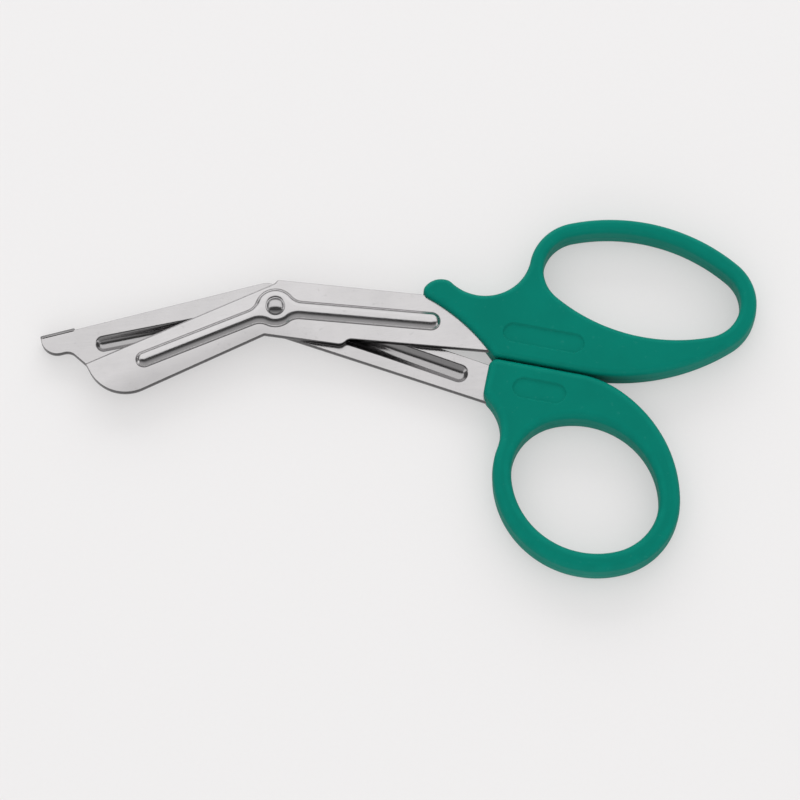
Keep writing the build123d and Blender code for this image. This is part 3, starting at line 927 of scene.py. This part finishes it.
def build_handle(settings, outline, hole, pocket, width):
    """Sweeps the soft outer and inner walls of a moulded handle and sinks its pocket."""
    bm = bmesh.new()
    thickness, height = settings.thickness / MM, settings.round_height / MM
    middle, wall = thickness / 2, thickness / 2 - height
    steps = [(inset * (1 - 0.1 / width) + 0.1, wall + up) for inset, up in round_steps(width, height, 9)]
    half = [(0.015, 0.1), (0.05, 0.14)] + steps + [(width + FLAT_STRIP, middle)]
    section = [(inset, middle - up) for inset, up in reversed(half)] + [(inset, middle + up) for inset, up in half]
    worn_and_lit = [0, 0.2, 0.5, 0.8, 1, 1, 0.8, 0.6, 0.4, 0.2, 0.1, 0.1, 0.5]
    worn_and_lit = worn_and_lit + worn_and_lit[::-1]
    sweep_section(bm, outline, section, worn_and_lit)
    sweep_section(bm, hole, [(-inset, up) for inset, up in section], worn_and_lit)
    depth = settings.pocket_depth / MM
    sunk = step_bend(POCKET_LEAN, depth, *POCKET_BEND)
    lip = [(inset, thickness - up) for inset, up in sunk]
    lip = [(lip[0][0] - 0.1, thickness)] + lip + [(lip[-1][0] + 0.1, thickness - depth)]
    sweep_section(bm, slot_outline(pocket, POCKET_TURN), lip)
    for level in (0, thickness - depth, thickness):
        fill_level(bm, level)
    return bm


class SCISSORS_OT_add_handles(bpy.types.Operator):
    """Builds both moulded plastic handles"""

    bl_idname = "scissors.add_handles"
    bl_label = "Add Handles"

    def execute(self, context):
        """Sweeps and places the two handles."""
        settings = context.scene.scissors_handles
        bm = build_handle(settings, FINGER_OUTLINE, FINGER_HOLE, FINGER_POCKET, settings.finger_round / MM)
        plastic = satin_plastic(settings, "Green plastic finger", FINGER_GATE)
        finish_piece(bm, "finger_handle_dressed", "front_half", plastic)
        bm = build_handle(settings, THUMB_OUTLINE, THUMB_HOLE, THUMB_POCKET, settings.thumb_round / MM)
        plastic = satin_plastic(settings, "Green plastic thumb", THUMB_GATE)
        finish_piece(bm, "thumb_handle_dressed", "rear_half", plastic)
        return {"FINISHED"}


def rivet_profile():
    """Returns the rivet's half section as (radius, height, wear), from the rear head up to the crown of the dome."""
    top = HEAD_LEVEL + HEAD_RISE
    profile = [(0, 0, 0), (TAIL_RADIUS - 0.5, 0, 0.2)]
    for turn in (0, pi / 8, pi / 4, 3 * pi / 8, pi / 2):
        profile.append((TAIL_RADIUS - TAIL_ROUND * (1 - sin(turn)), TAIL_ROUND * (1 - cos(turn)), 1))
    profile += [(TAIL_RADIUS, TAIL_HEIGHT - TAIL_BEVEL, 0.3), (TAIL_RADIUS - TAIL_BEVEL, TAIL_HEIGHT, 0.3)]
    profile += [(SHANK_RADIUS, TAIL_HEIGHT, 0), (SHANK_RADIUS, HEAD_LEVEL, 0), (HEAD_RADIUS - 0.12, HEAD_LEVEL, 0)]
    ball = (HEAD_RADIUS**2 + HEAD_RISE**2) / (2 * HEAD_RISE)
    spread = atan2(HEAD_RADIUS, ball - HEAD_RISE)
    dome = [(HEAD_RADIUS, HEAD_LEVEL + 0.1, 0.6)]
    for index in range(1, 15):
        turn = spread * (1 - index / 15)
        dome.append((ball * sin(turn), top - ball * (1 - cos(turn)), 0.6 if index < 6 else 0.2))
    return profile + [spot for spot in dome if spot[1] > HEAD_LEVEL + 0.05] + [(0, top, 0.2)]


class SCISSORS_OT_add_rivet(bpy.types.Operator):
    """Builds the pivot rivet"""

    bl_idname = "scissors.add_rivet"
    bl_label = "Add Rivet"

    def execute(self, context):
        """Spins the rivet's profile round the pivot axis."""
        settings = context.scene.scissors_blades
        bm = bmesh.new()
        wear_and_sheen = bm.verts.layers.float.new("wear_and_sheen")
        line = []
        for radius, height, worn_and_lit in rivet_profile():
            vert = bm.verts.new((radius * MM, 0, height * MM))
            vert[wear_and_sheen] = worn_and_lit
            line.append(vert)
        edges = [bm.edges.new(pair) for pair in zip(line, line[1:])]
        bmesh.ops.spin(bm, geom=line + edges, cent=(0, 0, 0), axis=UP, angle=2 * pi, steps=SPIN_STEPS, use_merge=True)
        bmesh.ops.remove_doubles(bm, verts=bm.verts, dist=0.001 * MM)
        steel = polished_steel(settings, "Polished rivet steel")
        finish_piece(bm, "pivot_rivet_dressed", "rear_half", steel)
        return {"FINISHED"}


def add_lamp(name, place, power):
    """Adds a soft rectangular lamp that shines at the scissors and isn't seen in reflections."""
    lamp = bpy.data.lights.new(name, "AREA")
    lamp.shape = "RECTANGLE"
    lamp.size, lamp.size_y = LAMP_SIZE
    lamp.energy = power
    obj = bpy.data.objects.new(name, lamp)
    obj.location = place
    obj.rotation_euler = (Vector(LAMP_TARGET) - obj.location).to_track_quat("-Z", "Y").to_euler()
    obj.visible_glossy = False
    bpy.context.scene.collection.objects.link(obj)


def floor_paper(settings):
    """Pale matt paper of the floor, with a faint tooth."""
    material, tree, shader, vector = start_material("Pale paper")
    tooth = add_noise(tree, vector, 900.0, 2.0, 0.5)
    base = tuple(settings.floor_colour)
    shade = add_range(tree, tooth, 0.3, 0.7, 0.0, 0.4)
    colour = add_mix(tree, shade, base, shaded(base, 0.985))
    tree.links.new(colour, shader.inputs["Base Color"])
    shader.inputs["Roughness"].default_value = 0.9
    shader.inputs["Specular IOR Level"].default_value = 0.0
    glow = tree.nodes.new("ShaderNodeEmission")
    tree.links.new(colour, glow.inputs["Color"])
    paths = tree.nodes.new("ShaderNodeLightPath")
    seen = add_math(tree, "MAXIMUM", paths.outputs["Is Camera Ray"], paths.outputs["Is Glossy Ray"])
    seen = add_math(tree, "MAXIMUM", seen, paths.outputs["Is Transmission Ray"])
    blend = tree.nodes.new("ShaderNodeMixShader")
    tree.links.new(add_math(tree, "MULTIPLY", seen, 0.5), blend.inputs["Fac"])
    tree.links.new(shader.outputs["BSDF"], blend.inputs[1])
    tree.links.new(glow.outputs["Emission"], blend.inputs[2])
    tree.links.new(blend.outputs["Shader"], tree.nodes["Material Output"].inputs["Surface"])
    return material


def panel_card(name, axis, near, far, stops):
    """Glowing studio panel whose greys follow one axis between two places, from stops of (share, grey)."""
    material, tree, shader, vector = start_material(name)
    parts = tree.nodes.new("ShaderNodeSeparateXYZ")
    tree.links.new(vector, parts.inputs["Vector"])
    shades = tree.nodes.new("ShaderNodeValToRGB")
    ramp = shades.color_ramp.elements
    ramp[0].position, ramp[-1].position = stops[0][0], stops[-1][0]
    for place, _ in stops[1:-1]:
        ramp.new(place)
    for element, (_, grey) in zip(ramp, stops):
        element.color = (grey, grey * 0.99, grey * 0.99, 1)
    tree.links.new(add_range(tree, parts.outputs[axis], near, far, 0.0, 1.0), shades.inputs["Fac"])
    glow = tree.nodes.new("ShaderNodeEmission")
    tree.links.new(shades.outputs["Color"], glow.inputs["Color"])
    tree.nodes.remove(shader)
    tree.links.new(glow.outputs["Emission"], tree.nodes["Material Output"].inputs["Surface"])
    return material


def add_panel(name, side, arc, material, turn=0.0, span=(-PANEL_REACH, PANEL_REACH)):
    """Bends a panel round the scissors from the floor up, seen only in reflections."""
    bm = bmesh.new()
    ends = [bm.verts.new((across, side * PANEL_RADIUS, 0.0)) for across in span]
    line = bm.edges.new(ends)
    bmesh.ops.spin(bm, geom=ends + [line], cent=(0, 0, 0), axis=(1, 0, 0), angle=side * arc, steps=36)
    bmesh.ops.rotate(bm, cent=(0, 0, 0), matrix=Matrix.Rotation(turn, 3, "Z"), verts=bm.verts)
    mesh = bpy.data.meshes.new(name)
    bm.to_mesh(mesh)
    bm.free()
    mesh.materials.append(material)
    panel = bpy.data.objects.new(name, mesh)
    panel.visible_camera = panel.visible_shadow = panel.visible_diffuse = False
    bpy.context.scene.collection.objects.link(panel)
    return panel


class SCISSORS_OT_add_stage(bpy.types.Operator):
    """Builds the floor, the soft light and the camera"""

    bl_idname = "scissors.add_stage"
    bl_label = "Add Stage"

    def execute(self, context):
        """Places the floor, the panels, the lamps, the world and the camera."""
        scene = context.scene
        settings = scene.scissors_stage
        bm = bmesh.new()
        bmesh.ops.create_grid(bm, x_segments=1, y_segments=1, size=FLOOR_SIZE)
        mesh = bpy.data.meshes.new("floor")
        bm.to_mesh(mesh)
        bm.free()
        mesh.materials.append(floor_paper(settings))
        floor = bpy.data.objects.new("floor", mesh)
        scene.collection.objects.link(floor)
        front = panel_card("Front panel", "Y", -PANEL_RADIUS * cos(FRONT_ARC), -PANEL_RADIUS, FRONT_GREYS)
        front = add_panel("front_panel", -1, FRONT_ARC, front)
        back = panel_card("Back panel", "Z", 0.0, PANEL_RADIUS * sin(BACK_ARC), BACK_GREYS)
        back = add_panel("back_panel", 1, BACK_ARC, back)
        side = panel_card("Side panel", "Z", 0.0, PANEL_RADIUS * sin(SIDE_ARC), SIDE_GREYS)
        left = add_panel("left_panel", 1, SIDE_ARC, side, radians(90), (-SIDE_OVERLAP, PANEL_REACH))
        right = add_panel("right_panel", 1, SIDE_ARC, side, radians(-90), (-PANEL_REACH, SIDE_OVERLAP))
        add_lamp("soft_back", BACK_LAMP, settings.lamp_power)
        add_lamp("soft_front", FRONT_LAMP, settings.lamp_power / 3)
        world = scene.world or bpy.data.worlds.new("Studio")
        scene.world = world
        world.use_nodes = True
        sky = world.node_tree.nodes["Background"]
        sky.inputs["Color"].default_value = SKY_COLOUR
        sky.inputs["Strength"].default_value = SKY_STRENGTH
        lens = bpy.data.cameras.new("camera")
        lens.sensor_width = SENSOR_WIDTH
        lens.lens = SENSOR_WIDTH * settings.distance / (VIEW_WIDTH * MM)
        target = Vector(VIEW_CENTRE) * MM
        camera = bpy.data.objects.new("camera", lens)
        camera.location = target + Vector((0, -cos(settings.elevation), sin(settings.elevation))) * settings.distance
        camera.rotation_euler = (pi / 2 - settings.elevation, 0, 0)
        scene.collection.objects.link(camera)
        scene.camera = camera
        scene.view_settings.view_transform = "Standard"
        return {"FINISHED"}


class SCISSORS_PT_panel(bpy.types.Panel):
    """Lists the steps and their settings in the sidebar"""

    bl_idname = "SCISSORS_PT_panel"
    bl_label = "Bandage Scissors"
    bl_space_type = "VIEW_3D"
    bl_region_type = "UI"
    bl_category = "Scissors"

    def draw(self, context):
        """Draws one box for each group of settings."""
        scene = context.scene
        for group, names in (
            (scene.scissors_blades, ("scissors.add_blades", "scissors.add_rivet")),
            (scene.scissors_handles, ("scissors.add_handles",)),
            (scene.scissors_stage, ("scissors.add_stage",)),
        ):
            box = self.layout.box()
            for key in group.bl_rna.properties.keys():
                if key not in ("rna_type", "name"):
                    box.prop(group, key)
            for name in names:
                box.operator(name)


CLASSES = (
    ScissorsHandleSettings,
    ScissorsBladeSettings,
    ScissorsStageSettings,
    SCISSORS_OT_add_blades,
    SCISSORS_OT_add_handles,
    SCISSORS_OT_add_rivet,
    SCISSORS_OT_add_stage,
    SCISSORS_PT_panel,
)


def register():
    """Registers the classes and the scene's settings."""
    for cls in CLASSES:
        bpy.utils.register_class(cls)
    bpy.types.Scene.scissors_handles = bpy.props.PointerProperty(type=ScissorsHandleSettings)
    bpy.types.Scene.scissors_blades = bpy.props.PointerProperty(type=ScissorsBladeSettings)
    bpy.types.Scene.scissors_stage = bpy.props.PointerProperty(type=ScissorsStageSettings)


def unregister():
    """Removes the settings and the classes."""
    del bpy.types.Scene.scissors_handles
    del bpy.types.Scene.scissors_blades
    del bpy.types.Scene.scissors_stage
    for cls in reversed(CLASSES):
        bpy.utils.unregister_class(cls)


def main():
    """Registers the steps and builds the scissors and their stage."""
    register()
    bpy.ops.scissors.add_blades()
    bpy.ops.scissors.add_handles()
    bpy.ops.scissors.add_rivet()
    bpy.ops.scissors.add_stage()


if __name__ == "__main__":
    main()
